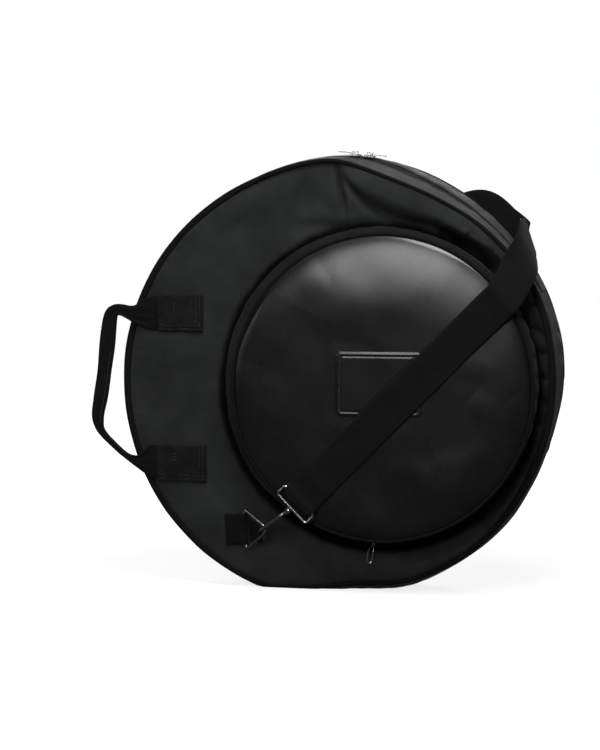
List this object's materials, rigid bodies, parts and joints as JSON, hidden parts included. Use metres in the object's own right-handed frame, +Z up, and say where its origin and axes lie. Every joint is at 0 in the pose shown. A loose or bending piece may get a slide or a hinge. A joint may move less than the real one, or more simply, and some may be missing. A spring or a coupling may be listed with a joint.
{
  "type": "cymbal bag",
  "caption": "Round padded black bag for cymbals, standing on its edge, with a wide zip round the rim, a round vinyl front pocket, a side handle and a hook-on shoulder strap.",
  "frame": {"origin": "on the floor, under the bag's centre, in the middle plane of the rim's gusset", "axes": "+X to the right as seen from the front, +Y from the face to the back, +Z up"},
  "size_m": [0.6497, 0.1736, 0.594],
  "materials": {
    "nylon": "woven nylon cloth",
    "foam": "closed-cell foam",
    "lining": "smooth lining cloth",
    "binding": "corded binding",
    "vinyl": "grained soft vinyl",
    "webbing": "woven webbing",
    "zip": "zip tape with moulded teeth",
    "dark_metal": "dark plated metal",
    "bright_metal": "bright plated metal"
  },
  "bodies": {
    "back_shell": {"back_panel_skin": "nylon", "back_panel_foam": "foam", "back_panel_lining": "lining", "back_piping": "binding", "rear_gusset_strip": "nylon", "hinge_gusset": "nylon", "rear_zip_tape": "zip", "back_ring_tab": "webbing", "strap_back_run": "webbing", "back_strap_loop": "dark_metal", "strap_adjuster": "dark_metal"},
    "front_cover": {"front_panel_skin": "nylon", "front_panel_foam": "foam", "front_panel_lining": "lining", "front_piping": "binding", "front_gusset_strip": "nylon", "front_zip_tape": "zip", "pocket_rear_strip": "nylon", "pocket_closing_strip": "nylon", "pocket_rear_zip_tape": "zip", "pocket_front_strip_base": "nylon", "pocket_front_zip_tape_base": "zip", "pocket_piping_base": "binding", "pocket_skin_base": "vinyl", "pocket_foam_base": "foam", "pocket_lining_base": "lining", "handle_anchor_upper": "webbing", "handle_anchor_lower": "webbing", "front_ring_tab": "webbing", "strap_front_run": "webbing", "front_strap_loop": "dark_metal"},
    "pocket_flap": {"pocket_front_strip_flap": "nylon", "pocket_front_zip_tape_flap": "zip", "pocket_piping_flap": "binding", "pocket_skin_flap": "vinyl", "pocket_foam_flap": "foam", "pocket_lining_flap": "lining"},
    "main_slider_left_body": {"main_slider_left": "dark_metal"},
    "main_slider_right_body": {"main_slider_right": "dark_metal"},
    "main_pull_left_body": {"main_pull_left": "bright_metal"},
    "main_pull_right_body": {"main_pull_right": "bright_metal"},
    "pocket_slider_body": {"pocket_slider": "dark_metal"},
    "pocket_pull_body": {"pocket_pull": "bright_metal"},
    "handle_loop_body": {"handle_loop": "webbing"},
    "front_ring_body": {"front_ring": "dark_metal"},
    "back_ring_body": {"back_ring": "dark_metal"},
    "front_hook_body": {"front_hook": "dark_metal"},
    "back_hook_body": {"back_hook": "dark_metal"},
    "front_gate_body": {"front_gate": "dark_metal"},
    "back_gate_body": {"back_gate": "dark_metal"}
  },
  "joints": [
    {"name": "front_cover_hinge", "type": "hinge", "parent": "back_shell", "child": "front_cover", "pos_m": [0.3, -0.0446, 0.289], "axis": [0, 0, 1], "range_deg": [0, 100]},
    {"name": "main_slider_left_travel", "type": "hinge", "parent": "back_shell", "child": "main_slider_left_body", "pos_m": [0, -0.015, 0.289], "axis": [0, -1, 0], "range_deg": [0, 248]},
    {"name": "main_slider_right_travel", "type": "hinge", "parent": "back_shell", "child": "main_slider_right_body", "pos_m": [0, -0.015, 0.289], "axis": [0, 1, 0], "range_deg": [0, 56]},
    {"name": "main_pull_left_swing", "type": "hinge", "parent": "main_slider_left_body", "child": "main_pull_left_body", "pos_m": [0.0216, -0.015, 0.59103], "axis": [0, 1, 0], "range_deg": [0, 100]},
    {"name": "main_pull_right_swing", "type": "hinge", "parent": "main_slider_right_body", "child": "main_pull_right_body", "pos_m": [0.04167, -0.015, 0.58892], "axis": [0, -1, 0], "range_deg": [0, 100]},
    {"name": "pocket_flap_fold", "type": "hinge", "parent": "front_cover", "child": "pocket_flap", "pos_m": [0.073, -0.0948, 0.282], "axis": [0.7071, 0, 0.7071], "range_deg": [0, 100]},
    {"name": "pocket_slider_travel", "type": "hinge", "parent": "front_cover", "child": "pocket_slider_body", "pos_m": [0.073, -0.058, 0.282], "axis": [0, 1, 0], "range_deg": [0, 208]},
    {"name": "pocket_pull_swing", "type": "hinge", "parent": "pocket_slider_body", "child": "pocket_pull_body", "pos_m": [0.05782, -0.058, 0.07526], "axis": [0, 1, 0], "range_deg": [-80, 80]},
    {"name": "handle_swing", "type": "hinge", "parent": "front_cover", "child": "handle_loop_body", "pos_m": [-0.2504, -0.0507, 0.271], "axis": [0, 0, 1], "range_deg": [0, 110]},
    {"name": "front_ring_swing", "type": "hinge", "parent": "front_cover", "child": "front_ring_body", "pos_m": [-0.1245, -0.0509, 0.0795], "axis": [-0.0698, 0, 0.9976], "range_deg": [-1.5, 1.5]},
    {"name": "back_ring_swing", "type": "hinge", "parent": "back_shell", "child": "back_ring_body", "pos_m": [-0.1245, 0.0509, 0.50302], "axis": [0, 0, 1], "range_deg": [-3, 1.5]},
    {"name": "front_hook_swivel", "type": "hinge", "parent": "front_cover", "child": "front_hook_body", "pos_m": [-0.04555, -0.0993, 0.11537], "axis": [-0.7289, 0.4868, -0.4813], "range_deg": [-15, 15]},
    {"name": "back_hook_swivel", "type": "hinge", "parent": "back_shell", "child": "back_hook_body", "pos_m": [-0.02391, 0.0584, 0.50302], "axis": [-1, 0, 0], "range_deg": [-15, 15]},
    {"name": "front_gate_swing", "type": "hinge", "parent": "front_hook_body", "child": "front_gate_body", "pos_m": [-0.05738, -0.08768, 0.10756], "axis": [-0.5511, 0, 0.8345], "range_deg": [0, 14], "stiffness_Nm_per_rad": 0.05, "springref_deg": -5.73},
    {"name": "back_gate_swing", "type": "hinge", "parent": "back_hook_body", "child": "back_gate_body", "pos_m": [-0.04116, 0.05515, 0.50302], "axis": [0, 0, -1], "range_deg": [0, 14], "stiffness_Nm_per_rad": 0.05, "springref_deg": -5.73}
  ]
}
